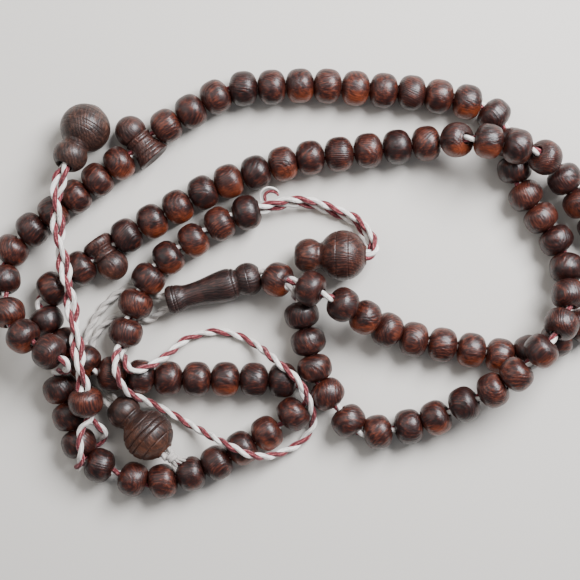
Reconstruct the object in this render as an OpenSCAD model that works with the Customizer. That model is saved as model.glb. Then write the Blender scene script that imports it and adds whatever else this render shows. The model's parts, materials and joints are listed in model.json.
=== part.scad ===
// A string of ninety-nine wooden prayer beads, laid down loosely on a flat surface.
// The string runs 33 beads, a cross-drilled separator, 33 beads, a second separator, 33 beads.
// Both ends pass through a stopper bead and a long leader, and hang from it with a gourd.
// Two counter tails end in gourds of their own: a long one with seven beads, a short one with one.
//
// Frame: X along the longer side of the laid string, Y across it, Z up from the surface.
// The origin is on the surface, under the middle of the string's box.
// Every size but the first is for a bead of 8 mm, and the whole string grows with the bead.

/* [Beads] */
// Diameter of a bead, which sets the scale of the whole string
bead_d = 8; // [6:0.5:12]
// Length of a bead along its bore
bead_len = 6; // [5:0.1:6]
// Gap between neighbouring beads
bead_gap = 0.15; // [0.1:0.01:0.15]

/* [Cord] */
// Thickness of the twisted cord
cord_d = 1.6; // [1.2:0.1:1.6]
// Thickness of two cords laid together
pair_d = 3; // [2:0.1:3]
// Radius of a bore that takes one cord
single_bore = 1.2; // [1:0.05:1.3]
// Radius of a bore that takes two cords
double_bore = 1.75; // [1.7:0.05:1.9]

/* [Gourds] */
// Diameter of a gourd's body
gourd_d = 11.6; // [10:0.1:11.6]
// Length of a gourd's body along its bore
gourd_len = 10.4; // [9:0.1:10.4]
// Diameter of a gourd's head
head_d = 7.6; // [7:0.1:7.6]
// Length of a gourd's head along its bore
head_len = 6.4; // [5.5:0.1:6.4]
// Distance from the middle of a gourd's head to the middle of its body
head_reach = 7.8; // [7:0.1:7.8]

/* [Leader] */
// Length of the long leader bead
leader_len = 22.6; // [20:0.1:22.6]
// Diameter of the leader's ball
leader_ball_d = 7.7; // [7:0.1:7.7]

/* [Separators] */
// Diameter of a separator's ball
separator_ball_d = 7.2; // [6.5:0.1:7.2]
// Distance from the string to the middle of a separator's ball
ball_reach = 3.9; // [3.8:0.1:4.2]

/* [Hidden] */
$fn = 96;
CORD_SIDES = 8;
// The bead diameter that every other size is for
BASE_BEAD_D = 8;
SCALE = bead_d / BASE_BEAD_D;
BEAD_WOOD = [0.27, 0.09, 0.05];
DARK_WOOD = [0.16, 0.08, 0.06];
TURNED_WOOD = [0.30, 0.12, 0.08];
CORD_WHITE = [0.86, 0.82, 0.76];

// The bead's outline is an arc about a point this far from its axis.
RIM = (BASE_BEAD_D - bead_len) / 2;
CORD_R = cord_d / 2;
// Middle of the laid string's box, measured in the routes' own frame
MIDDLE = [2.3, 0.15, 0];

// The corners of the main string, in order, from the stopper bead and back to it.
// Each is [x, y, z, beads on the straight stretch that starts there].
STRING = [
    [-1.3, 0.8, 8, 1],
    [7, -3, 11, 3],
    [23, -12, 4, 4],
    [49.5, -17, 4, 2],
    [62, -11.5, 4, 2],
    [73, -3, 4, 2],
    [69.5, 10.5, 4, 3],
    [58.5, 27, 6, 1],
    [52.5, 30, 12, 2],
    [38.5, 32.5, 12, 1],
    [33, 32.5, 5, 5],
    [-0.5, 28.5, 4, 3],
    [-19, 22.5, 4, 4],
    [-42, 9.5, 4, 0],
    [-47.5, 5.5, 4, 2],
    [-60, -4, 4, 1],
    [-56, -11.5, 4, 2],
    [-46, -20, 6.5, 2],
    [-33, -21.5, 4, 5],
    [-0.5, -22, 4, 0],
    [2, -27, 4, 1],
    [-4.5, -32.5, 4, 3],
    [-21.5, -42.5, 4, 2],
    [-34.5, -46, 4, 2],
    [-49, -40, 4, 3],
    [-55.5, -21, 4, 0],
    [-55.8, -20.1, 4, 0],
    [-51.4, -19.4, 11.1, 0],
    [-51.8, -17.1, 13.9, 0],
    [-53, -16.5, 13.5, 2],
    [-65, -10, 9, 2],
    [-68, 4.5, 4, 1],
    [-63.5, 10.5, 4, 5],
    [-38.5, 29.5, 4, 0],
    [-33, 34.5, 4, 3],
    [-16, 44.5, 4, 3],
    [3.5, 45.5, 4, 4],
    [29, 43.5, 4, 2],
    [42, 41, 4, 1],
    [47.5, 36, 4, 2],
    [50, 23, 4, 3],
    [61, 7, 4, 2],
    [61, -5.5, 9.5, 1],
    [56.5, -12.5, 13, 2],
    [46.5, -22.5, 10, 3],
    [28.5, -32, 4, 2],
    [14, -34.5, 4, 2],
    [4.5, -22.5, 4, 3],
    [0, -4, 4.5, 0],
    [-1.7, -0.8, 8, 0]
];
STRETCHES = len(STRING) - 1;
// The stretches that carry the two separators instead of beads
LOWER_SEPARATOR_STRETCH = 13;
UPPER_SEPARATOR_STRETCH = 33;

// The two cords of the main string's tail, from the stopper bead's left end to the terminal gourd.
TAIL_UPPER = [
    [-8.2, 2.9, 4.5],
    [-30.2, -3.1, 4.2],
    [-33.9, -2.6, 0.9],
    [-35.9, -1.4, 0.8],
    [-38.2, -0.3, 0.9],
    [-42, -2, 0.9],
    [-47.5, -8, 0.9],
    [-50.2, -16, 0.9],
    [-48.5, -22.8, 0.9],
    [-46.6, -26.4, 2.4],
    [-43.2, -27.1, 4.8],
    [-29.7, -39.6, 6.7]
];
TAIL_LOWER = [
    [-7.8, 1.1, 4.5],
    [-29.8, -4.9, 4.2],
    [-33.5, -8, 0.9],
    [-36, -8.4, 0.9],
    [-38.5, -7.5, 0.8],
    [-41.5, -6.6, 0.9],
    [-46.5, -10.5, 0.9],
    [-48.2, -16, 0.9],
    [-46.3, -21.8, 0.9],
    [-44.2, -25, 2.6],
    [-42.1, -25.8, 4.8],
    [-28.6, -38.4, 6.7]
];

// The long counter tail where its two cords lie together, from its gourd to the last counter bead.
// The fourth number is how many counter beads sit on the stretch that starts there.
LONG_PAIR = [
    [11, 6.5, 6, 0],
    [17, 6.6, 6.5, 0],
    [17, 10.2, 3.6, 0],
    [13.4, 14.8, 1.8, 0],
    [4, 18.5, 2.2, 0],
    [-1.5, 19, 4, 1],
    [-15, 15.5, 4, 1],
    [-21, 12, 4, 1],
    [-27, 8, 4, 1],
    [-32.5, 4, 4, 1],
    [-36, -1.5, 4, 1],
    [-38.5, -7.5, 4, 1],
    [-40.5, -14.5, 4, 0],
    [-40.7, -15, 4.9, 0]
];
// The bare loop that closes the long counter tail.
LONG_LOOP = [
    [-39.8, -15, 5],
    [-39.3, -16.8, 7.6],
    [-38, -20, 10.6],
    [-33, -18.5, 9.2],
    [-29, -15.5, 3.5],
    [-25.5, -12, 0.9],
    [-17.5, -10.5, 0.9],
    [-10, -13.5, 0.9],
    [-5, -17.5, 7.6],
    [0.5, -22, 9],
    [2.5, -26.8, 6.4],
    [4, -32, 2],
    [0.5, -37, 0.9],
    [-6, -39.5, 4],
    [-10, -39, 8.2],
    [-13.5, -37.5, 9.2],
    [-18, -35.5, 7],
    [-24, -33, 0.9],
    [-32.5, -28, 2],
    [-36, -26, 5.8],
    [-38.5, -24.8, 8],
    [-40.5, -21.5, 11],
    [-41.3, -17.4, 11.6],
    [-41.5, -14.5, 5]
];

// The short counter tail's two cords twisted together, from its gourd through its slider bead.
SHORT_PAIR = [
    [-50.3, 31.4, 7.8],
    [-53, 25.4, 10.7],
    [-54.4, 21, 9.9],
    [-54.5, 16.5, 9.9],
    [-53.5, 7, 8.8],
    [-51.5, -3, 8.6],
    [-49, -17.5, 11.8],
    [-47.5, -30, 8.4]
];
SLIDER_STRETCH = 6;
// The bare loop below the slider bead, hitched round the main string.
SHORT_LOOP = [
    [-48.3, -29.6, 8.4],
    [-49.4, -33, 8.8],
    [-49.3, -37, 8.9],
    [-49.2, -40.3, 7],
    [-50.8, -42.5, 4],
    [-49.5, -40.6, 0.9],
    [-46.8, -37.8, 0.9],
    [-44.5, -35, 2.6],
    [-44, -33.5, 5.4],
    [-46.7, -29.8, 8.4]
];

// Where the turned end pieces lie: [middle of the head, middle of the body].
GOURD_SHORT = [[-51.4, 28.9, 9], [-48.5, 35.4, 5.8]];
GOURD_LONG = [[2.3, 6.5, 5.2], [10.1, 6.5, 5.9]];
GOURD_END = [[-39.8, -29.1, 5.2], [-34.1, -34.4, 6]];
LEADER_FOOT = [-30, -4, 4.2];
LEADER_END = [-8.2, 2, 4.5];
STOPPER = [[-8, 2, 4.5], [-1.5, 0, 8]];
// Middle of the knot that holds the terminal gourd, and the way its cord ends point
END_KNOT = [-28.6, -39.5, 6.8];

// ---- Geometry of a strung cord ----

function corner(path, k) = [path[k][0], path[k][1], path[k][2]];
function heading(path, k) = let (run = corner(path, k + 1) - corner(path, k)) run / norm(run);
function reach(path, k) = norm(corner(path, k + 1) - corner(path, k));
function half_turn(path, k) = acos(min(1, heading(path, k - 1) * heading(path, k))) / 2;

// Distance from a corner to the middle of the bead nearest to it, so that beads on both sides clear.
function stand_off(path, k) =
    let (bend = k == 0 || k >= len(path) - 1 ? 0 : half_turn(path, k))
    (bead_len / 2 + bead_gap / 2 + RIM * sin(bend)) / cos(bend);
function bare_end(path, k) = k == 0 || path[k - 1][3] == 0 || path[k][3] == 0;
function separator_end(k) = abs(k - LOWER_SEPARATOR_STRETCH - 0.5) < 1 || abs(k - UPPER_SEPARATOR_STRETCH - 0.5) < 1;
function string_clearance(k) =
    bare_end(STRING, k) && !separator_end(k) ? bead_len / 2 + bead_gap : stand_off(STRING, k);

// How far along stretch k of the main string the middle of each of its beads is.
function bead_places(k) =
    let (count = STRING[k][3])
    let (first = string_clearance(k))
    let (last = reach(STRING, k) - string_clearance(k + 1))
    count == 1 ? [(first + last) / 2] : [for (j = [0 : count - 1]) first + (last - first) * j / (count - 1)];

// ---- Names of the nodes ----

function beads_before(k) = k == 0 ? 0 : beads_before(k - 1) + STRING[k - 1][3];
function two_digits(n) = n < 10 ? str("0", n) : str(n);
function run_name(k) =
    let (first = beads_before(k) + 1)
    let (last = beads_before(k) + STRING[k][3])
    first == last ? str("bead_", two_digits(first)) : str("beads_", two_digits(first), "_", two_digits(last));
RUNS = [for (k = [0 : STRETCHES - 1]) if (STRING[k][3] > 0) k];

LONG_TAIL_BEADS = [for (k = [0 : len(LONG_PAIR) - 2]) if (LONG_PAIR[k][3] > 0) k];
function counter_name(i) = str("counter_bead_", i + 1);

// ---- Shared shapes ----

// Stands its children on `from` with their Z axis towards `to`.
module along(from, to) {
    run = to - from;
    translate(from)
        rotate([0, acos(run[2] / norm(run)), atan2(run[1], run[0])])
            children();
}

// A rounded barrel about Z with a bore: its outline is one arc.
module barrel(d, length, bore) {
    rotate_extrude()
        difference() {
            translate([(d - length) / 2, 0])
                circle(d = length);
            translate([bore - d, -length])
                square([d, 2 * length]);
        }
}

module bead(bore = single_bore) {
    barrel(BASE_BEAD_D, bead_len, bore);
}

// A solid of revolution from [distance along the axis, radius] stations, eased from one to the next
module turned(stations, bore, steps = 4) {
    outline = [
        for (i = [0 : len(stations) - 2])
            for (s = [0 : steps - 1])
                let (ease = (1 - cos(180 * s / steps)) / 2)
                let (along_axis = stations[i][0] + (stations[i + 1][0] - stations[i][0]) * s / steps)
                [stations[i][1] + (stations[i + 1][1] - stations[i][1]) * ease, along_axis]
    ];
    last = stations[len(stations) - 1];
    start_z = stations[0][0];
    rotate_extrude()
        polygon(concat([[bore, start_z]], outline, [[last[1], last[0]], [bore, last[0]]]));
}

// A tube swept along a path, with one ring of points at each corner.
function side_axis(path, k) =
    let (way = k == 0 ? heading(path, 0) : heading(path, k - 1))
    let (flat = cross(way, abs(way[2]) > 0.9 ? [1, 0, 0] : [0, 0, 1]))
    flat / norm(flat);
function mitre(path, k) =
    k == 0 ? heading(path, 0)
    : k == len(path) - 1 ? heading(path, k - 1)
    : let (both = heading(path, k - 1) + heading(path, k)) both / norm(both);
// Each ring is the tube's cross-section pushed along the stretch before it onto the mitre plane.
function ring(path, k, r) =
    let (way = k == 0 ? heading(path, 0) : heading(path, k - 1))
    let (u = side_axis(path, k))
    let (v = cross(u, way))
    let (plane = mitre(path, k))
    [
        for (i = [0 : CORD_SIDES - 1])
            let (arm = r * (cos(360 * i / CORD_SIDES) * u + sin(360 * i / CORD_SIDES) * v))
            corner(path, k) + arm - way * ((arm * plane) / (way * plane))
    ];
module tube(path, r) {
    rings = len(path);
    points = [for (k = [0 : rings - 1]) for (p = ring(path, k, r)) p];
    sides = [
        for (k = [0 : rings - 2])
            for (i = [0 : CORD_SIDES - 1])
                let (next = (i + 1) % CORD_SIDES)
                let (here = k * CORD_SIDES)
                let (there = here + CORD_SIDES)
                [here + i, here + next, there + next, there + i]
    ];
    start_cap = [[for (i = [CORD_SIDES - 1 : -1 : 0]) i]];
    end_cap = [[for (i = [0 : CORD_SIDES - 1]) (rings - 1) * CORD_SIDES + i]];
    polyhedron(points = points, faces = concat(start_cap, sides, end_cap), convexity = 10);
}

function reversed(list) = [for (k = [len(list) - 1 : -1 : 0]) list[k]];

// ---- Cords ----

module main_string() {
    color(CORD_WHITE)
        tube(concat(reversed(TAIL_UPPER), STRING, TAIL_LOWER), CORD_R);
}

module long_tail_cord() {
    color(CORD_WHITE) {
        tube(LONG_PAIR, pair_d / 2);
        tube(LONG_LOOP, CORD_R);
    }
}

module short_tail_cord() {
    color(CORD_WHITE) {
        tube(SHORT_PAIR, pair_d / 2);
        tube(SHORT_LOOP, CORD_R);
    }
}

module end_knot() {
    knot_r = 1.7;
    color(CORD_WHITE)
        translate(END_KNOT)
            sphere(r = knot_r);
}

// ---- Turned pieces ----

// Half the outline of a full barrel, standing at z
module barrel_outline(d, length, z) {
    translate([(d - length) / 2, z])
        circle(d = length);
    translate([0, z - length / 2])
        square([(d - length) / 2, length]);
}

module gourd(place) {
    waist_r = 2.9;
    end_r = 2.4;
    end_len = 0.1;
    groove_r = 0.4;
    groove_offset = 1.4;
    far_end = head_reach + gourd_len / 2 + end_len;
    color(TURNED_WOOD)
        along(place[0], place[1])
            rotate_extrude()
                difference() {
                    union() {
                        barrel_outline(head_d, head_len, 0);
                        barrel_outline(gourd_d, gourd_len, head_reach);
                        square([waist_r, head_reach]);
                        translate([0, head_reach])
                            square([end_r, far_end - head_reach]);
                    }
                    translate([-gourd_d, -head_len])
                        square([gourd_d + double_bore, 2 * head_len + far_end]);
                    for (side = [-1, 1])
                        translate([gourd_d / 2, head_reach + side * groove_offset])
                            circle(r = groove_r);
                }
}

module leader() {
    ball_inset = 3.5;
    ball_z = leader_len - ball_inset;
    ball_len = 6.8;
    color(DARK_WOOD)
        along(LEADER_FOOT, LEADER_END) {
            turned([
                [0, 3.1],
                [0.8, 3.6],
                [3, 3],
                [5.6, 2.3],
                [9, 2.6],
                [14.4, 3.7],
                [16, 3.4],
                [17.2, 2.9]
            ], double_bore);
            translate([0, 0, ball_z])
                barrel(leader_ball_d, ball_len, double_bore);
        }
}

module stopper_bead() {
    middle = norm(STOPPER[1] - STOPPER[0]) / 2;
    color(BEAD_WOOD)
        along(STOPPER[0], STOPPER[1])
            translate([0, 0, middle])
                bead(double_bore);
}

module slider_bead() {
    lower_end_gap = 0.6;
    middle = reach(SHORT_PAIR, SLIDER_STRETCH) - bead_len / 2 - lower_end_gap;
    color(BEAD_WOOD)
        along(SHORT_PAIR[SLIDER_STRETCH], SHORT_PAIR[SLIDER_STRETCH + 1])
            translate([0, 0, middle])
                bead(double_bore);
}

// A separator lies across the string: ball on one side, flared skirt on the other.
module separator(k, stations) {
    hollow_depth = 0.8;
    end_z = stations[len(stations) - 1][0];
    color(TURNED_WOOD)
        along(corner(STRING, k), corner(STRING, k + 1))
            translate([0, 0, reach(STRING, k) / 2])
                difference() {
                    rotate([90, 0, 0])
                        union() {
                            translate([0, 0, -ball_reach])
                                sphere(d = separator_ball_d);
                            rotate_extrude()
                                polygon(concat(
                                    [[0, stations[0][0]]],
                                    [for (s = stations) [s[1], s[0]]],
                                    [[0, end_z - hollow_depth]]
                                ));
                        }
                    cylinder(r = single_bore, h = 4 * ball_reach, center = true);
                }
}

module lower_separator() {
    separator(LOWER_SEPARATOR_STRETCH, [
        [-2.2, 2.5],
        [-1.3, 3],
        [-0.7, 2.9],
        [0.1, 2.6],
        [1.5, 3],
        [2.7, 3.65],
        [3.1, 3.45]
    ]);
}

module upper_separator() {
    separator(UPPER_SEPARATOR_STRETCH, [
        [-2.2, 2.8],
        [-1.4, 3.3],
        [-0.8, 3.1],
        [0.6, 3.1],
        [2.6, 3.6],
        [4, 4],
        [4.4, 3.7]
    ]);
}

module terminal_gourd() {
    gourd(GOURD_END);
}

module long_tail_gourd() {
    gourd(GOURD_LONG);
}

module short_tail_gourd() {
    gourd(GOURD_SHORT);
}

// ---- Beads ----

module counter_bead(k) {
    // The first counter bead rests against the second, and slides away from it along a bare stretch.
    is_first = k == LONG_TAIL_BEADS[0];
    middle = is_first ? reach(LONG_PAIR, k) - stand_off(LONG_PAIR, k + 1) : reach(LONG_PAIR, k) / 2;
    color(BEAD_WOOD)
        along(corner(LONG_PAIR, k), corner(LONG_PAIR, k + 1))
            translate([0, 0, middle])
                bead(double_bore);
}

module bead_run(k) {
    color(BEAD_WOOD)
        along(corner(STRING, k), corner(STRING, k + 1))
            for (place = bead_places(k))
                translate([0, 0, place])
                    bead();
}

// ---- Drawing ----

scale(SCALE)
translate(-MIDDLE) {
    main_string();
    long_tail_cord();
    short_tail_cord();
    end_knot();
    leader();
    stopper_bead();
    slider_bead();
    lower_separator();
    upper_separator();
    terminal_gourd();
    long_tail_gourd();
    short_tail_gourd();
    for (i = [0 : len(LONG_TAIL_BEADS) - 1])
        counter_bead(LONG_TAIL_BEADS[i]);
    for (k = RUNS)
        bead_run(k);
}
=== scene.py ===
"""Looks for a string of ninety-nine wooden prayer beads, laid loosely on a flat surface."""
import json
import math
import random

import bmesh
import bpy
from mathutils import Matrix, Vector


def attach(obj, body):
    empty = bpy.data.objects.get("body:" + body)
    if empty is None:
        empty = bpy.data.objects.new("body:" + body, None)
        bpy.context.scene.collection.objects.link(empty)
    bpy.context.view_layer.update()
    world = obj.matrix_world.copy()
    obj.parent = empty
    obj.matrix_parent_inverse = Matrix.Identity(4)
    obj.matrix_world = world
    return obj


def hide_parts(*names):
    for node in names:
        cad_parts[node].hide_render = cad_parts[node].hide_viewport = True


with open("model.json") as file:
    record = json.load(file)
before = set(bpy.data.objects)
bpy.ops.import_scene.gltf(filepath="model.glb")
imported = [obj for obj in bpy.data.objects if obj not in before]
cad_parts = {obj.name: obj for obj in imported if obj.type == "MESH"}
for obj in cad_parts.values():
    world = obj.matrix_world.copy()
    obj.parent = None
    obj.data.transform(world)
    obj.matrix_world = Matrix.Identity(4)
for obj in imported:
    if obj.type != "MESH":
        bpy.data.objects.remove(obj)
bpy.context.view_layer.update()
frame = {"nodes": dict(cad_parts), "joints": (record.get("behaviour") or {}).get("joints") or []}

MM = 0.001
# The part's origin is under the middle of the string's box, this far from the routes' own zero.
MIDDLE = Vector((2.3, 0.15, 0))

# ---------------------------------------------------------------- camera, light and floor

VIEW_MIDDLE = Vector((-1.94, -1.37, 0))
CAMERA_HEIGHT = 334
SENSOR_WIDTH = 36
VIEW_WIDTH_AT_BEADS = 132.6
BEAD_MIDDLE_HEIGHT = 4


def at(x, y, z):
    """A point of the routes' own millimetres, in metres in the part's frame."""
    return (Vector((x, y, z)) - MIDDLE) * MM


def add_camera():
    data = bpy.data.cameras.new("camera")
    data.sensor_width = SENSOR_WIDTH
    data.lens = SENSOR_WIDTH * (CAMERA_HEIGHT - BEAD_MIDDLE_HEIGHT) / VIEW_WIDTH_AT_BEADS
    data.clip_start = 0.01
    camera = bpy.data.objects.new("camera", data)
    camera.location = at(VIEW_MIDDLE.x, VIEW_MIDDLE.y, CAMERA_HEIGHT)
    bpy.context.collection.objects.link(camera)
    bpy.context.scene.camera = camera


def add_area_light(name, place, aim, size, power, colour):
    data = bpy.data.lights.new(name, "AREA")
    data.size = size
    data.energy = power
    data.color = colour
    light = bpy.data.objects.new(name, data)
    light.location = at(*place)
    way = at(*aim) - light.location
    light.rotation_euler = way.to_track_quat("-Z", "Y").to_euler()
    bpy.context.collection.objects.link(light)


def add_world(colour, strength):
    world = bpy.data.worlds.new("studio")
    world.use_nodes = True
    background = world.node_tree.nodes["Background"]
    background.inputs["Color"].default_value = (*colour, 1)
    background.inputs["Strength"].default_value = strength
    bpy.context.scene.world = world


def add_floor():
    half = 0.6
    mesh = bpy.data.meshes.new("floor")
    corners = [(-half, -half, 0), (half, -half, 0), (half, half, 0), (-half, half, 0)]
    mesh.from_pydata(corners, [], [(0, 1, 2, 3)])
    floor = bpy.data.objects.new("floor", mesh)
    bpy.context.collection.objects.link(floor)
    nodes = Nodes("floor_paper")
    nodes.set("Base Color", (0.66, 0.63, 0.58, 1))
    nodes.set("Roughness", 0.9)
    mesh.materials.append(nodes.material)


# ---------------------------------------------------------------- materials


class Nodes:
    """A node material, with short calls to add and join its nodes."""

    def __init__(self, name):
        self.material = bpy.data.materials.new(name)
        self.material.use_nodes = True
        self.tree = self.material.node_tree
        self.shader = self.tree.nodes["Principled BSDF"]

    def add(self, kind, **settings):
        node = self.tree.nodes.new(kind)
        for key, value in settings.items():
            setattr(node, key, value)
        return node

    def join(self, out, into):
        self.tree.links.new(out, into)

    def set(self, socket, value):
        self.shader.inputs[socket].default_value = value

    def attribute(self, name):
        return self.add("ShaderNodeAttribute", attribute_name=name)

    def stretch(self, vector, scale):
        node = self.add("ShaderNodeMapping")
        node.inputs["Scale"].default_value = scale
        self.join(vector, node.inputs["Vector"])
        return node.outputs["Vector"]

    def noise(self, vector, scale, detail=4.0, distortion=0.0):
        node = self.add("ShaderNodeTexNoise")
        node.inputs["Scale"].default_value = scale
        node.inputs["Detail"].default_value = detail
        node.inputs["Distortion"].default_value = distortion
        self.join(vector, node.inputs["Vector"])
        return node.outputs["Fac"]

    def wave(self, vector, scale, distortion, detail=2.0):
        node = self.add("ShaderNodeTexWave", wave_type="RINGS")
        node.inputs["Scale"].default_value = scale
        node.inputs["Distortion"].default_value = distortion
        node.inputs["Detail"].default_value = detail
        self.join(vector, node.inputs["Vector"])
        return node.outputs["Fac"]

    def ramp(self, factor, stops):
        node = self.add("ShaderNodeValToRGB")
        ends = node.color_ramp.elements
        ends[0].position, ends[0].color = stops[0][0], (*stops[0][1], 1)
        ends[1].position, ends[1].color = stops[-1][0], (*stops[-1][1], 1)
        for place, colour in stops[1:-1]:
            ends.new(place).color = (*colour, 1)
        self.join(factor, node.inputs["Fac"])
        return node.outputs["Color"]

    def math(self, operation, a, b, clamp=False):
        node = self.add("ShaderNodeMath", operation=operation, use_clamp=clamp)
        for socket, value in zip(node.inputs, (a, b)):
            if isinstance(value, (int, float)):
                socket.default_value = value
            else:
                self.join(value, socket)
        return node.outputs["Value"]

    def weighted(self, first, *others):
        """The sum of (output, weight) pairs."""
        total = self.math("MULTIPLY", *first)
        for output, weight in others:
            total = self.math("ADD", total, self.math("MULTIPLY", output, weight))
        return total

    def mix(self, factor, a, b):
        node = self.add("ShaderNodeMix", data_type="RGBA")
        for socket, value in ((node.inputs[0], factor), (node.inputs[6], a), (node.inputs[7], b)):
            if isinstance(value, (int, float, tuple)):
                socket.default_value = value
            else:
                self.join(value, socket)
        return node.outputs[2]

    def split(self, vector):
        node = self.add("ShaderNodeSeparateXYZ")
        self.join(vector, node.inputs["Vector"])
        return node.outputs

    def bump(self, height, strength, distance):
        node = self.add("ShaderNodeBump")
        node.inputs["Strength"].default_value = strength
        node.inputs["Distance"].default_value = distance
        self.join(height, node.inputs["Height"])
        self.join(node.outputs["Normal"], self.shader.inputs["Normal"])


GROOVE_AND_SHADE_BROWN = (0.02, 0.008, 0.006)
SOILED_GREY = (0.30, 0.27, 0.24)


def wood(name, darkest, middle, light, painted_glow_amber, painted_glow_share, roughness):
    """Oiled turned wood: strokes of grain, curved growth rings, amber patches of painted warm glow on
    each piece's lower side, dark grooves and painted shade in bores and hollows.
    """
    nodes = Nodes(name)
    grain = nodes.attribute("grain").outputs["Vector"]
    tone = nodes.split(nodes.attribute("tone").outputs["Vector"])
    strokes = nodes.noise(nodes.stretch(grain, (4.4, 4.4, 0.55)), 1.0, 6.0, 0.5)
    rings = nodes.wave(nodes.stretch(grain, (1.0, 1.0, 0.18)), 0.75, 6.0, 3.0)
    mottle = nodes.noise(grain, 0.42, 4.0, 0.9)
    figure = nodes.weighted((strokes, 0.75), (rings, 0.12), (mottle, 0.50), (tone["X"], 0.06))
    base = nodes.ramp(figure, [(0.52, darkest), (0.71, middle), (0.93, light)])
    # Painted warm glow: amber on the lower (−y) side of each piece, broken up by the grain noise,
    # standing in for warm light bounced up from the floor.
    painted_glow = nodes.math("MULTIPLY", tone["Y"], nodes.math("ADD", mottle, strokes))
    painted_glow = nodes.ramp(painted_glow, [(0.40, (0, 0, 0)), (0.80, (1, 1, 1))])
    painted_glow = nodes.math("MULTIPLY", painted_glow, painted_glow_share, clamp=True)
    colour = nodes.mix(painted_glow, base, (*painted_glow_amber, 1))
    # Dark grooves, plus painted shade inside bores and hollows and fading out over the mouths' edges.
    grooves = nodes.math("MULTIPLY", tone["Z"], 0.85, clamp=True)
    colour = nodes.mix(grooves, colour, (*GROOVE_AND_SHADE_BROWN, 1))
    nodes.join(colour, nodes.shader.inputs["Base Color"])
    polish = nodes.math("MULTIPLY", nodes.noise(grain, 0.9, 3.0), 0.3)
    nodes.join(nodes.math("ADD", polish, roughness), nodes.shader.inputs["Roughness"])
    nodes.set("Specular IOR Level", 0.42)
    nodes.set("Coat Weight", 0.22)
    nodes.set("Coat Roughness", 0.18)
    relief = nodes.weighted((strokes, 0.7), (rings, 0.3))
    nodes.bump(relief, 0.6, 0.0002)
    return nodes.material


def thread(name):
    """Twisted thread. The lay attribute holds turns round the ply, distance along it and its dye.

    A dye of 1 is dark red, 0 is off-white, and below 0 the thread is an ever more soiled grey.
    """
    nodes = Nodes(name)
    lay = nodes.split(nodes.attribute("lay").outputs["Vector"])
    around = nodes.math("MULTIPLY", lay["X"], 5.0)
    along = nodes.math("MULTIPLY", lay["Y"], 0.9)
    strand = nodes.math("FRACT", nodes.math("ADD", around, along), 0.0)
    strand = nodes.math("PINGPONG", strand, 0.5)
    strand = nodes.math("MULTIPLY", strand, 2.0)
    place = nodes.attribute("place").outputs["Vector"]
    fuzz = nodes.noise(place, 2.4, 5.0, 0.5)
    soil = nodes.noise(place, 0.16, 3.0)
    white = nodes.ramp(
        nodes.weighted((strand, 0.35), (soil, 0.65)),
        [(0.2, (0.50, 0.45, 0.40)), (0.5, (0.84, 0.80, 0.75)), (0.85, (0.93, 0.91, 0.88))],
    )
    red = nodes.ramp(
        nodes.weighted((strand, 0.45), (fuzz, 0.55)),
        [(0.25, (0.045, 0.004, 0.007)), (0.52, (0.15, 0.011, 0.018)), (0.68, (0.27, 0.040, 0.048)),
         (0.80, (0.62, 0.34, 0.33))],
    )
    soiled = nodes.math("MULTIPLY", lay["Z"], -1.0, clamp=True)
    white = nodes.mix(soiled, white, (*SOILED_GREY, 1))
    dyed = nodes.math("MAXIMUM", lay["Z"], 0.0)
    nodes.join(nodes.mix(dyed, white, red), nodes.shader.inputs["Base Color"])
    nodes.set("Roughness", 0.82)
    nodes.set("Sheen Weight", 0.2)
    nodes.bump(nodes.weighted((strand, 1.0), (fuzz, 0.4)), 0.7, 0.00008)
    return nodes.material


# ---------------------------------------------------------------- routes of the cords, in millimetres

CORD_D = 1.7
STRING = [
    (-1.3, 0.8, 8), (7, -3, 11), (23, -12, 4), (49.5, -17, 4), (62, -11.5, 4), (73, -3, 4),
    (69.5, 10.5, 4), (58.5, 27, 6), (52.5, 30, 12), (38.5, 32.5, 12), (33, 32.5, 5), (-0.5, 28.5, 4),
    (-19, 22.5, 4), (-42, 9.5, 4), (-47.5, 5.5, 4), (-60, -4, 4), (-56, -11.5, 4), (-46, -20, 6.5),
    (-33, -21.5, 4), (-0.5, -22, 4), (2, -27, 4), (-4.5, -32.5, 4), (-21.5, -42.5, 4), (-34.5, -46, 4),
    (-49, -40, 4), (-55.5, -21, 4), (-55.8, -20.1, 4), (-51.4, -19.4, 11.1), (-51.8, -17.1, 13.9),
    (-53, -16.5, 13.5), (-65, -10, 9), (-68, 4.5, 4), (-63.5, 10.5, 4),
    (-38.5, 29.5, 4), (-33, 34.5, 4), (-16, 44.5, 4), (3.5, 45.5, 4), (29, 43.5, 4), (42, 41, 4),
    (47.5, 36, 4), (50, 23, 4), (61, 7, 4), (61, -5.5, 9.5), (56.5, -12.5, 13), (46.5, -22.5, 10),
    (28.5, -32, 4), (14, -34.5, 4), (4.5, -22.5, 4), (0, -4, 4.5), (-1.7, -0.8, 8),
]
# The stretches of the string that carry the separators
LOWER_SEPARATOR_STRETCH = 13
UPPER_SEPARATOR_STRETCH = 33
TAIL_UPPER = [
    (-8.2, 2.9, 4.5), (-30.2, -3.1, 4.2), (-33.9, -2.6, 0.9), (-35.9, -1.4, 0.8), (-38.2, -0.3, 0.9),
    (-42, -2, 0.9), (-47.5, -8, 0.9), (-50.2, -16, 0.9), (-48.5, -22.8, 0.9), (-46.6, -26.4, 2.4),
    (-43.2, -27.1, 4.8), (-29.7, -39.6, 6.7),
]
TAIL_LOWER = [
    (-7.8, 1.1, 4.5), (-29.8, -4.9, 4.2), (-33.5, -8, 0.9), (-36, -8.4, 0.9), (-38.5, -7.5, 0.8),
    (-41.5, -6.6, 0.9), (-46.5, -10.5, 0.9), (-48.2, -16, 0.9), (-46.3, -21.8, 0.9), (-44.2, -25, 2.6),
    (-42.1, -25.8, 4.8), (-28.6, -38.4, 6.7),
]
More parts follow.
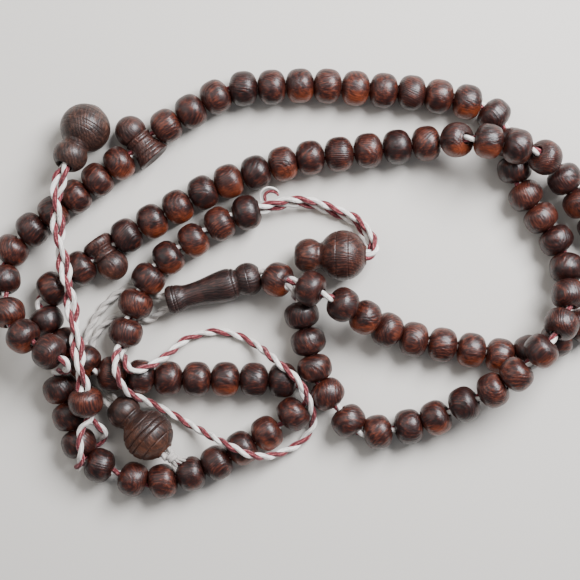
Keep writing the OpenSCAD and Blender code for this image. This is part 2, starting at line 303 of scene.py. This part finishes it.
LONG_PAIR = [
    (11, 6.5, 6), (17, 6.6, 6.5), (17, 10.2, 3.6), (13.4, 14.8, 1.8), (4, 18.5, 2.2), (-1.5, 19, 4),
    (-15, 15.5, 4), (-21, 12, 4), (-27, 8, 4), (-32.5, 4, 4), (-36, -1.5, 4), (-38.5, -7.5, 4),
    (-40.5, -14.5, 4), (-40.7, -15, 4.9),
]
LONG_LOOP = [
    (-39.8, -15, 5), (-39.3, -16.8, 7.6), (-38, -20, 10.6), (-33, -18.5, 9.2), (-29, -15.5, 3.5),
    (-25.5, -12, 0.9), (-17.5, -10.5, 0.9), (-10, -13.5, 0.9), (-5, -17.5, 7.6), (0.5, -22, 9),
    (2.5, -26.8, 6.4), (4, -32, 2), (0.5, -37, 0.9), (-6, -39.5, 4), (-10, -39, 8.2),
    (-13.5, -37.5, 9.2), (-18, -35.5, 7), (-24, -33, 0.9), (-32.5, -28, 2), (-36, -26, 5.8),
    (-38.5, -24.8, 8), (-40.5, -21.5, 11), (-41.3, -17.4, 11.6), (-41.5, -14.5, 5),
]
SHORT_PAIR = [
    (-50.3, 31.4, 7.8), (-53, 25.4, 10.7), (-54.4, 21, 9.9), (-54.5, 16.5, 9.9), (-53.5, 7, 8.8),
    (-51.5, -3, 8.6), (-49, -17.5, 11.8), (-47.5, -30, 8.4),
]
SHORT_LOOP = [
    (-48.3, -29.6, 8.4), (-49.4, -33, 8.8), (-49.3, -37, 8.9), (-49.2, -40.3, 7), (-50.8, -42.5, 4),
    (-49.5, -40.6, 0.9), (-46.8, -37.8, 0.9), (-44.5, -35, 2.6), (-44, -33.5, 5.4),
    (-46.7, -29.8, 8.4),
]
END_KNOT = (-28.6, -39.5, 6.8)


def rounded(points, trim, steps=8):
    """The route with each corner rounded off over at most `trim` on either side."""
    line = [points[0]]
    for before, here, after in zip(points, points[1:], points[2:]):
        back = min(trim, (here - before).length * 0.5)
        ahead = min(trim, (after - here).length * 0.5)
        first = here + (before - here).normalized() * back
        last = here + (after - here).normalized() * ahead
        for step in range(steps + 1):
            t = step / steps
            line.append(first * (1 - t) ** 2 + here * (2 * t * (1 - t)) + last * t**2)
    line.append(points[-1])
    return line


def evenly(line, pitch):
    """The line with points at an even distance from each other."""
    marks = [0.0]
    for a, b in zip(line, line[1:]):
        marks.append(marks[-1] + (b - a).length)
    count = max(2, round(marks[-1] / pitch))
    result = []
    place = 0
    for k in range(count + 1):
        want = marks[-1] * k / count
        while place < len(line) - 2 and marks[place + 1] < want:
            place += 1
        gap = marks[place + 1] - marks[place]
        share = 0 if gap == 0 else (want - marks[place]) / gap
        result.append(line[place].lerp(line[place + 1], share))
    return result


def length_of(line):
    return sum((b - a).length for a, b in zip(line, line[1:]))


def frames_along(line):
    """A side axis and an upper axis for each point of the line, carried along without twist."""
    side = None
    frames = []
    for k in range(len(line)):
        way = (line[min(k + 1, len(line) - 1)] - line[max(k - 1, 0)]).normalized()
        if side is None:
            side = way.cross(Vector((0, 0, 1))).normalized()
        side = (side - way * side.dot(way)).normalized()
        frames.append((side, way.cross(side)))
    return frames


def beside(line, offset, lean, turn_pitch=None):
    """A line `offset` from another, leaning up beside it, that winds round it once per turn_pitch."""
    result = []
    gone = 0.0
    for k, point in enumerate(line):
        way = (line[min(k + 1, len(line) - 1)] - line[max(k - 1, 0)]).normalized()
        side = way.cross(Vector((0, 0, 1))).normalized()
        up = side.cross(way)
        if k > 0:
            gone += (point - line[k - 1]).length
        angle = math.radians(lean) + (0 if turn_pitch is None else 2 * math.pi * gone / turn_pitch)
        result.append(point + (side * math.cos(angle) + up * math.sin(angle)) * offset)
    return result


# ---------------------------------------------------------------- cords


def cord_mesh(name, line, redness, radius, lay_pitch=6.9):
    """Two plies twisted round each other along the line. redness(s) gives each ply's colour."""
    ply_r = radius * 0.63
    offset = radius - ply_r
    sides = 12
    pitch = 0.3
    line = evenly(line, pitch)
    frames = frames_along(line)
    total = length_of(line)
    verts, faces, lay, place = [], [], [], []
    for ply in (0, 1):
        base = len(verts)
        gone = 0.0
        for k, point in enumerate(line):
            if k > 0:
                gone += (point - line[k - 1]).length
            side, up = frames[k]
            twist = 2 * math.pi * gone / lay_pitch + math.pi * ply
            out = side * math.cos(twist) + up * math.sin(twist)
            across = up * math.cos(twist) - side * math.sin(twist)
            centre = point + out * offset
            shade = redness(gone, total)[ply]
            for i in range(sides):
                angle = 2 * math.pi * i / sides
                verts.append((centre + (out * math.cos(angle) + across * math.sin(angle)) * ply_r) * MM)
                lay.append((i / sides, gone, shade))
                place.append(point + out * (ply + 1))
        rings = len(line)
        for k in range(rings - 1):
            for i in range(sides):
                here = base + k * sides
                nxt = (i + 1) % sides
                faces.append((here + i, here + nxt, here + sides + nxt, here + sides + i))
        faces.append(tuple(base + i for i in reversed(range(sides))))
        faces.append(tuple(base + (rings - 1) * sides + i for i in range(sides)))
    mesh = bpy.data.meshes.new(name)
    mesh.from_pydata([v - MIDDLE * MM for v in verts], [], faces)
    set_vectors(mesh, "lay", lay)
    set_vectors(mesh, "place", place)
    return mesh


def set_vectors(mesh, name, values):
    attribute = mesh.attributes.new(name, "FLOAT_VECTOR", "POINT")
    flat = [part for value in values for part in value]
    attribute.data.foreach_set("vector", flat)


def add_piece(name, mesh, material, body, smooth_angle=50):
    mesh.materials.append(material)
    mesh.validate()
    mesh.polygons.foreach_set("use_smooth", [True] * len(mesh.polygons))
    mesh.set_sharp_from_angle(angle=math.radians(smooth_angle))
    piece = bpy.data.objects.new(name, mesh)
    bpy.context.collection.objects.link(piece)
    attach(piece, body)
    return piece


def vectors(points):
    return [Vector(point) for point in points]


def white_and_red(gone, total):
    return (0.0, 1.0)


def add_free_cord(name, node, line, redness, material, radius=0.93):
    mesh = cord_mesh(name, line, redness, radius)
    piece = add_piece(name, mesh, material, "cord", 80)
    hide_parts(node)
    return piece


def add_cords():
    material = thread("twisted_thread")
    bead_corner, free_corner = 1.6, 12.0

    upper = rounded(vectors(TAIL_UPPER)[::-1], free_corner)
    middle = rounded(vectors([TAIL_UPPER[0]] + STRING + [TAIL_LOWER[0]]), bead_corner)
    lower = rounded(vectors(TAIL_LOWER), free_corner)
    tail = length_of(upper)

    def tails_grey(gone, total):
        """The two tails are undyed and soiled; the strung part has one red ply."""
        fade, soil = 4.0, 0.6
        inside = max(0.0, min(1.0, min(gone - tail, total - tail - gone) / fade))
        return (-soil * (1 - inside), inside - soil * (1 - inside))

    line = upper + middle[1:] + lower[1:]
    add_free_cord("string_cord", "main_string", line, tails_grey, material)

    half = CORD_D / 2 + 0.03
    pair = evenly(rounded(vectors(LONG_PAIR), 2.0), 0.5)
    loop = vectors(LONG_LOOP)
    there = beside(pair, -half, 58)
    back = beside(pair, half, 58)[::-1]
    turn = rounded([there[-1]] + loop[1:-1] + [back[0]], free_corner)
    line = there + turn[1:] + back[1:]
    add_free_cord("long_tail_twine", "long_tail_cord", line, white_and_red, material)

    pair = evenly(rounded(vectors(SHORT_PAIR), 4.0), 0.5)
    loop = vectors(SHORT_LOOP)
    there = beside(pair, half, 0, 19.0)
    back = beside(pair, -half, 0, 19.0)[::-1]
    turn = rounded([there[-1]] + loop[1:-1] + [back[0]], free_corner)
    line = there + turn[1:] + back[1:]
    add_free_cord("short_tail_twine", "short_tail_cord", line, white_and_red, material)
    add_end_knot(material)
    add_loose_curl(material)


def add_loose_curl(material):
    """A loose ply at the first counter bead's mouth, in a small arch that the bead pushes along."""
    white = vectors([
        (-8.6, 19.0, 4.6), (-8.9, 20.7, 5.6), (-7.3, 22.1, 6.3), (-5.2, 21.7, 6.0), (-4.5, 20.8, 5.3),
    ])
    red = vectors([
        (-7.6, 19.0, 4.4), (-7.8, 20.5, 5.1), (-6.5, 21.2, 5.6), (-5.2, 21.0, 5.4), (-4.6, 20.2, 4.9),
    ])
    white_r, red_r = 0.24, 0.40
    tubes = Strands()
    tubes.add(rounded(white, STRAND_TRIM), white_r, 0.0)
    tubes.add(rounded(red, STRAND_TRIM), red_r, 1.0)
    tubes.piece("loose_curl", material, "counter_bead_1")


STRAND_TRIM = 4.0


class Strands:
    """Collects plain round strands of thread into one mesh, in millimetres."""

    def __init__(self):
        self.verts, self.faces, self.lay, self.place = [], [], [], []

    def add(self, line, r, dye):
        sides, pitch, last_taper = 8, 0.35, 0.75
        line = evenly(line, pitch)
        frames = frames_along(line)
        base = len(self.verts)
        for k, point in enumerate(line):
            taper = 1.0 if k < len(line) - 2 else last_taper
            a, b = frames[k]
            for i in range(sides):
                angle = 2 * math.pi * i / sides
                spoke = (a * math.cos(angle) + b * math.sin(angle)) * r * taper
                self.verts.append((point + spoke - MIDDLE) * MM)
                self.lay.append((i / sides, k * pitch, dye))
                self.place.append(point)
        for k in range(len(line) - 1):
            for i in range(sides):
                here, nxt = base + k * sides, (i + 1) % sides
                self.faces.append((here + i, here + nxt, here + sides + nxt, here + sides + i))
        last = base + (len(line) - 1) * sides
        self.faces.append(tuple(base + i for i in reversed(range(sides))))
        self.faces.append(tuple(last + i for i in range(sides)))

    def piece(self, name, material, body="cord"):
        mesh = bpy.data.meshes.new(name)
        mesh.from_pydata(self.verts, [], self.faces)
        set_vectors(mesh, "lay", self.lay)
        set_vectors(mesh, "place", self.place)
        return add_piece(name, mesh, material, body, 80)


def add_end_knot(material):
    """The knot below the terminal gourd, and the frayed ends of its cord."""
    random.seed(41)
    middle = Vector(END_KNOT)
    out = (Vector(GOURD_END[1]) - Vector(GOURD_END[0])).normalized()
    side = out.cross(Vector((0, 0, 1))).normalized()
    up = side.cross(out)
    tubes = Strands()
    knot_r, knot_len, turns, steps = 0.85, 1.6, 2, 24
    coil_r, tuft_r, soil = 0.52, 0.30, -0.7
    coil = []
    for k in range(turns * steps + 1):
        angle = 2 * math.pi * k / steps
        lift = (k / (turns * steps) - 0.5) * knot_len
        coil.append(middle + out * lift + (side * math.cos(angle) + up * math.sin(angle)) * knot_r)
    tubes.add(coil, coil_r, soil)
    tufts, red_tuft = 9, 4
    for k in range(tufts):
        spread = (k / (tufts - 1) - 0.5) * 2
        reach = random.uniform(2.9, 3.8)
        start = middle + side * spread * 0.6 + up * random.uniform(-0.5, 0.5)
        bend = start + out * reach * 0.5 + side * spread * 0.9
        end = start + out * reach + side * spread * 1.9
        end.z = random.uniform(1.6, 4.2)
        dye = 1.0 if k == red_tuft else soil
        tubes.add(rounded([start, bend, end], STRAND_TRIM), tuft_r, dye)
    piece = tubes.piece("end_knot_frayed", material)
    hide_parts("end_knot")


# ---------------------------------------------------------------- turned wood

BEAD_LEN = 6.3
LONGEST_BEAD = 6.5
BEAD_SIDES = 48
FINE_SIDES = 72
BEAD_WOBBLE = 0.02
TURNED_WOBBLE = 0.01
TOUCHING_GAP = 0.04
BEAD_D = 8.0
SINGLE_BORE = 1.2
DOUBLE_BORE = 1.75
GOURD_SHORT = ((-51.4, 28.9, 9), (-48.5, 35.4, 5.8))
GOURD_LONG = ((2.3, 6.5, 5.2), (10.1, 6.5, 5.9))
GOURD_END = ((-39.8, -29.1, 5.2), (-34.1, -34.4, 6))
LEADER = ((-30, -4, 4.2), (-8.2, 2, 4.5))


class Turned:
    """Collects turned solids into one mesh, with the wood's own coordinates on each of them."""

    def __init__(self, seed):
        self.verts, self.faces, self.grain, self.tone = [], [], [], []
        self.random = random.Random(seed)

    def add(self, outline, place, sides, wobble):
        """outline is [(radius, height, darkness)] in millimetres, a closed loop round the bore;
        darkness marks dark grooves and painted shade in the bore and hollows.
        """
        pick = self.random
        tilt = Matrix.Rotation(pick.uniform(-0.5, 0.5), 3, "X")
        tilt = tilt @ Matrix.Rotation(pick.uniform(0, 6.28), 3, "Z")
        shift = Vector((pick.uniform(1, 6), pick.uniform(-4, 4), pick.uniform(-40, 40)))
        shade = pick.uniform(-1, 1)
        # How strong the painted warm glow is on this piece's lower side.
        painted_glow_strength = pick.choice((0.1, 0.35, 0.55, 0.9))
        phase = pick.uniform(0, 6.28)
        base = len(self.verts)
        count = len(outline)
        for i in range(sides):
            angle = 2 * math.pi * i / sides
            shrink = 1 - wobble * (0.5 + 0.5 * math.sin(2 * angle + phase))
            for r, z, dark in outline:
                local = Vector((r * shrink * math.cos(angle), r * shrink * math.sin(angle), z))
                point = place @ (local * MM)
                self.verts.append(point)
                self.grain.append(tilt @ local + shift)
                # How far the surface faces −y; this sets where the painted warm glow goes, carried in
                # the tone's second value.
                outward = (place.to_3x3() @ Vector((local.x, local.y, z * 0.6))).normalized()
                low = max(0.0, 0.35 - outward.y) / 1.35
                self.tone.append((shade, low * painted_glow_strength, dark))
        for i in range(sides):
            here, there = base + i * count, base + (i + 1) % sides * count
            for k in range(count):
                nxt = (k + 1) % count
                self.faces.append((here + k, there + k, there + nxt, here + nxt))

    def piece(self, name, node, material, slot_name):
        mesh = bpy.data.meshes.new(name)
        mesh.from_pydata(self.verts, [], self.faces)
        set_vectors(mesh, "grain", self.grain)
        set_vectors(mesh, "tone", self.tone)
        piece = add_piece(name, mesh, material, node)
        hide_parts(node)
        return piece


def along(start, end):
    """The placement whose Z axis runs from start towards end, both in metres."""
    way = (end - start).normalized()
    return Matrix.Translation(start) @ way.to_track_quat("Z", "Y").to_matrix().to_4x4()


def barrel_arc(diameter, length, middle, low=-90, high=90, steps=16):
    """Half the outline of a barrel: [(radius, height)] between two angles of its arc."""
    rim = (diameter - length) / 2
    points = []
    for k in range(steps + 1):
        angle = math.radians(low + (high - low) * k / steps)
        points.append((rim + length / 2 * math.cos(angle), middle + length / 2 * math.sin(angle)))
    return points


def angle_at(diameter, length, radius):
    """The arc's angle, in degrees, at which a barrel has that radius."""
    return math.degrees(math.acos((radius - (diameter - length) / 2) / (length / 2)))


def smooth(stations, steps=6):
    """[(height, radius)] stations joined by a smooth curve, as [(radius, height)]."""
    points = []
    for k in range(len(stations) - 1):
        p0 = stations[max(k - 1, 0)]
        p1, p2 = stations[k], stations[k + 1]
        p3 = stations[min(k + 2, len(stations) - 1)]
        for s in range(steps):
            t = s / steps
            value = []
            for i in (1, 0):
                a, b, c, d = p0[i], p1[i], p2[i], p3[i]
                square, cube = 2 * a - 5 * b + 4 * c - d, 3 * b - a - 3 * c + d
                value.append(0.5 * (2 * b + (c - a) * t + square * t**2 + cube * t**3))
            points.append(tuple(value))
    points.append((stations[-1][1], stations[-1][0]))
    return points


def grooved(outline, grooves):
    """Cuts soft grooves, each (height, depth, half width), and marks them dark."""
    result = []
    for r, z in outline:
        cut, dark = 0.0, 0.0
        for height, depth, width in grooves:
            near = math.exp(-(((z - height) / width) ** 2))
            cut += depth * near
            dark = max(dark, near)
        result.append((r - cut, z, dark * 0.6))
    return result


def closed(outline, bore):
    """Adds the bore's two mouths to an outline, with a small worn edge, and painted shade inside the
    bore that fades over that edge.
    """
    low, high = outline[0], outline[-1]
    mouth = 0.18
    # Darkness 1 on the bore wall and 0.5 on the mouth's edge is painted shade.
    start = [(bore, low[1] + mouth, 1.0), (bore + mouth, low[1] + 0.02, 0.5)]
    end = [(bore + mouth, high[1] - 0.02, 0.5), (bore, high[1] - mouth, 1.0)]
    return start + outline + end


def dense(outline, pitch=0.12):
    """More points along an outline, so that fine grooves have somewhere to go."""
    result = []
    for (r0, z0), (r1, z1) in zip(outline, outline[1:]):
        parts = max(1, math.ceil(math.hypot(r1 - r0, z1 - z0) / pitch))
        for k in range(parts):
            result.append((r0 + (r1 - r0) * k / parts, z0 + (z1 - z0) * k / parts))
    result.append(outline[-1])
    return result


def bead_outline(bore, bead_len):
    """A bead's outline is a little fuller than an arc, with a flat rim round each mouth."""
    fullness, steps = 2.6, 30
    outline = []
    for k in range(steps + 1):
        angle = math.pi * (k / steps - 0.5)
        z = math.copysign(abs(math.sin(angle)) ** (2 / fullness), angle) * bead_len / 2
        r = max(0.0, math.cos(angle)) ** (2 / fullness) * BEAD_D / 2
        if r > bore + 0.3:
            outline.append((r, z, 0.0))
    end = bead_len / 2 - 0.02
    # The flat rim round each mouth is a little darker: painted shade fading out from the bore.
    outline = [(bore + 0.3, -end, 0.2)] + outline + [(bore + 0.3, end, 0.2)]
    return closed(outline, bore)


def joint_axis(node):
    for joint in frame["joints"]:
        if joint["child"] == node:
            return Vector(joint["axis"])
    raise KeyError(node)


def solid_middles(node):
    """The middle of each separate solid of a CAD node, in metres."""
    mesh = bmesh.new()
    mesh.from_mesh(frame["nodes"][node].data)
    bmesh.ops.remove_doubles(mesh, verts=mesh.verts, dist=1e-6)
    left = set(mesh.verts)
    middles = []
    while left:
        stack = [left.pop()]
        group = list(stack)
        while stack:
            for edge in stack.pop().link_edges:
                for vert in edge.verts:
                    if vert in left:
                        left.remove(vert)
                        stack.append(vert)
                        group.append(vert)
        low = [min(v.co[i] for v in group) for i in range(3)]
        high = [max(v.co[i] for v in group) for i in range(3)]
        middles.append((Vector(low) + Vector(high)) / 2)
    mesh.free()
    axis = joint_axis(node)
    return sorted(middles, key=lambda point: point.dot(axis))


def add_beads():
    material = wood(
        "bead_wood_polished", (0.006, 0.0018, 0.0016), (0.028, 0.0062, 0.0044), (0.125, 0.029, 0.014),
        (0.27, 0.052, 0.014), 0.6, 0.24,
    )
    doubles = [n for n in frame["nodes"] if n.startswith("counter_bead")]
    doubles += ["stopper_bead", "slider_bead"]
    singles = [n for n in frame["nodes"] if n.startswith("bead")]
    for number, node in enumerate(sorted(singles) + sorted(doubles)):
        axis = joint_axis(node)
        middles = solid_middles(node)
        bead_len = BEAD_LEN
        if len(middles) > 1:
            pitch = (middles[1] - middles[0]).length / MM
            bead_len = min(LONGEST_BEAD, pitch - TOUCHING_GAP)
        outline = bead_outline(DOUBLE_BORE if node in doubles else SINGLE_BORE, bead_len)
        turned = Turned(100 + number)
        for middle in middles:
            turned.add(outline, along(middle, middle + axis), BEAD_SIDES, BEAD_WOBBLE)
        turned.piece("wood_" + node, node, material, "bead_wood")


def gourd_outline(grooves):
    head_d, head_len, body_d, body_len, reach = 7.9, 7.0, 11.6, 10.8, 7.8
    waist, end_r = 2.95, 2.4
    bore_edge = DOUBLE_BORE + 0.35
    mouth = angle_at(head_d, head_len, bore_edge)
    head_waist = angle_at(head_d, head_len, waist + 0.15)
    body_waist = angle_at(body_d, body_len, waist + 0.3)
    end_angle = angle_at(body_d, body_len, end_r)
    head = barrel_arc(head_d, head_len, 0, -mouth, head_waist)
    body = barrel_arc(body_d, body_len, reach, -body_waist, end_angle, 24)
    waist_z = 2.65
    end = reach + body_len / 2 - 0.05
    outline = head + [(waist, waist_z)] + body + [(bore_edge, end)]
    return closed(grooved(dense(outline), grooves), DOUBLE_BORE)


def add_gourds():
    grey_brown = wood(
        "gourd_wood_dark", (0.009, 0.0040, 0.0032), (0.036, 0.0145, 0.0100), (0.110, 0.045, 0.028),
        (0.30, 0.085, 0.025), 0.22, 0.32,
    )
    red_brown = wood(
        "gourd_wood_red", (0.008, 0.0028, 0.0022), (0.034, 0.0090, 0.0060), (0.120, 0.034, 0.018),
        (0.28, 0.065, 0.018), 0.30, 0.27,
    )
    fine = [(height, 0.07, 0.08) for height in (5.4, 6.3, 7.1, 9.2, 10.4, 11.4)]
    deep = [(height, 0.26, 0.16) for height in (5.0, 6.9, 8.3, 10.6)]
    for number, (node, ends, grooves, material) in enumerate((
        ("short_tail_gourd", GOURD_SHORT, [(1.6, 0.12, 0.12)] + fine, grey_brown),
        ("long_tail_gourd", GOURD_LONG, [(6.4, 0.12, 0.10), (9.2, 0.12, 0.10)], red_brown),
        ("terminal_gourd", GOURD_END, [(1.8, 0.15, 0.14)] + deep, grey_brown),
    )):
        turned = Turned(300 + number)
        turned.add(gourd_outline(grooves), along(at(*ends[0]), at(*ends[1])), FINE_SIDES, TURNED_WOBBLE)
        turned.piece("wood_" + node, node, material, "turned_wood")


def add_leader():
    material = wood(
        "leader_wood", (0.007, 0.0030, 0.0026), (0.028, 0.0100, 0.0078), (0.080, 0.028, 0.020),
        (0.24, 0.060, 0.020), 0.15, 0.32,
    )
    ball_d, ball_len, ball_middle = 7.7, 6.8, 19.1
    stations = [
        (0, 2.5), (0.4, 3.1), (1.4, 3.4), (3, 3.1), (4.8, 2.65), (8, 2.85), (11.5, 3.45),
        (14.2, 3.75), (16, 3.4), (16.5, 2.95),
    ]
    neck = angle_at(ball_d, ball_len, 3.0)
    end_angle = angle_at(ball_d, ball_len, 2.1)
    ball = barrel_arc(ball_d, ball_len, ball_middle, -neck, end_angle)
    outline = [(2.1, 0.0)] + smooth(stations) + ball
    grooves = [(1.6, 0.15, 0.14), (2.3, 0.12, 0.12), (15.6, 0.15, 0.14), (19.1, 0.08, 0.10)]
    turned = Turned(320)
    outline = closed(grooved(dense(outline), grooves), DOUBLE_BORE)
    turned.add(outline, along(at(*LEADER[0]), at(*LEADER[1])), FINE_SIDES, TURNED_WOBBLE)
    turned.piece("wood_leader", "leader", material, "dark_wood")


def add_separators():
    """Each separator has a ball on one side of the string, and a hollow skirt on the other."""
    material = wood(
        "separator_wood", (0.010, 0.0036, 0.0030), (0.044, 0.0140, 0.0098), (0.140, 0.048, 0.031),
        (0.32, 0.085, 0.028), 0.35, 0.30,
    )
    ball_d, reach, neck_r, painted_hollow_shade = 7.2, 3.9, 2.6, 0.85
    shapes = (
        (
            "lower_separator", LOWER_SEPARATOR_STRETCH,
            [(-2.2, 2.6), (-1.3, 3.1), (-0.6, 2.9), (0.1, 2.8), (0.9, 3.35), (1.8, 3.65), (2.6, 3.55),
             (3.1, 3.0)],
            [(-1.7, 0.16, 0.12), (-0.3, 0.14, 0.12), (0.8, 0.10, 0.10)],
        ),
        (
            "upper_separator", UPPER_SEPARATOR_STRETCH,
            [(-2.2, 2.8), (-1.4, 3.3), (-0.8, 3.1), (0.6, 3.1), (2.6, 3.6), (4.0, 4.0), (4.4, 3.7)],
            [(-1.9, 0.16, 0.12), (-0.4, 0.16, 0.13), (1.2, 0.12, 0.12), (2.2, 0.12, 0.12),
             (3.2, 0.12, 0.12)],
        ),
    )
    for number, (node, stretch, stations, grooves) in enumerate(shapes):
        start, end = Vector(STRING[stretch]), Vector(STRING[stretch + 1])
        way = (end - start).normalized()
        side = way.cross(Vector((0, 0, 1))).normalized()
        middle = (start + end) / 2 - MIDDLE
        place = along(middle * MM, (middle + side) * MM)
        neck = angle_at(ball_d, ball_d, neck_r)
        ball = barrel_arc(ball_d, ball_d, -reach, -89, neck, 20)
        skirt_end = stations[-1][0]
        inside = [(3.2, skirt_end - 0.2), (1.6, skirt_end - 0.75), (0.05, skirt_end - 0.8)]
        outline = grooved(dense(ball + smooth(stations)), grooves)
        # The inside of the skirt is darkened as painted shade in the hollow.
        hollow = [(r, z, painted_hollow_shade) for r, z in inside]
        turned = Turned(340 + number)
        turned.add(outline + hollow, place, FINE_SIDES, TURNED_WOBBLE)
        turned.piece("wood_" + node, node, material, "turned_wood")


# ---------------------------------------------------------------- the whole scene

add_camera()
add_cords()
add_area_light("key", (190, 200, 300), (0, 0, 0), 0.22, 4.9, (0.95, 0.96, 1.0))
add_area_light("fill", (-220, 160, 320), (0, 0, 0), 0.40, 0.7, (1.0, 0.97, 0.93))
add_world((0.86, 0.88, 0.94), 0.27)
add_floor()
add_beads()
add_gourds()
add_leader()
add_separators()
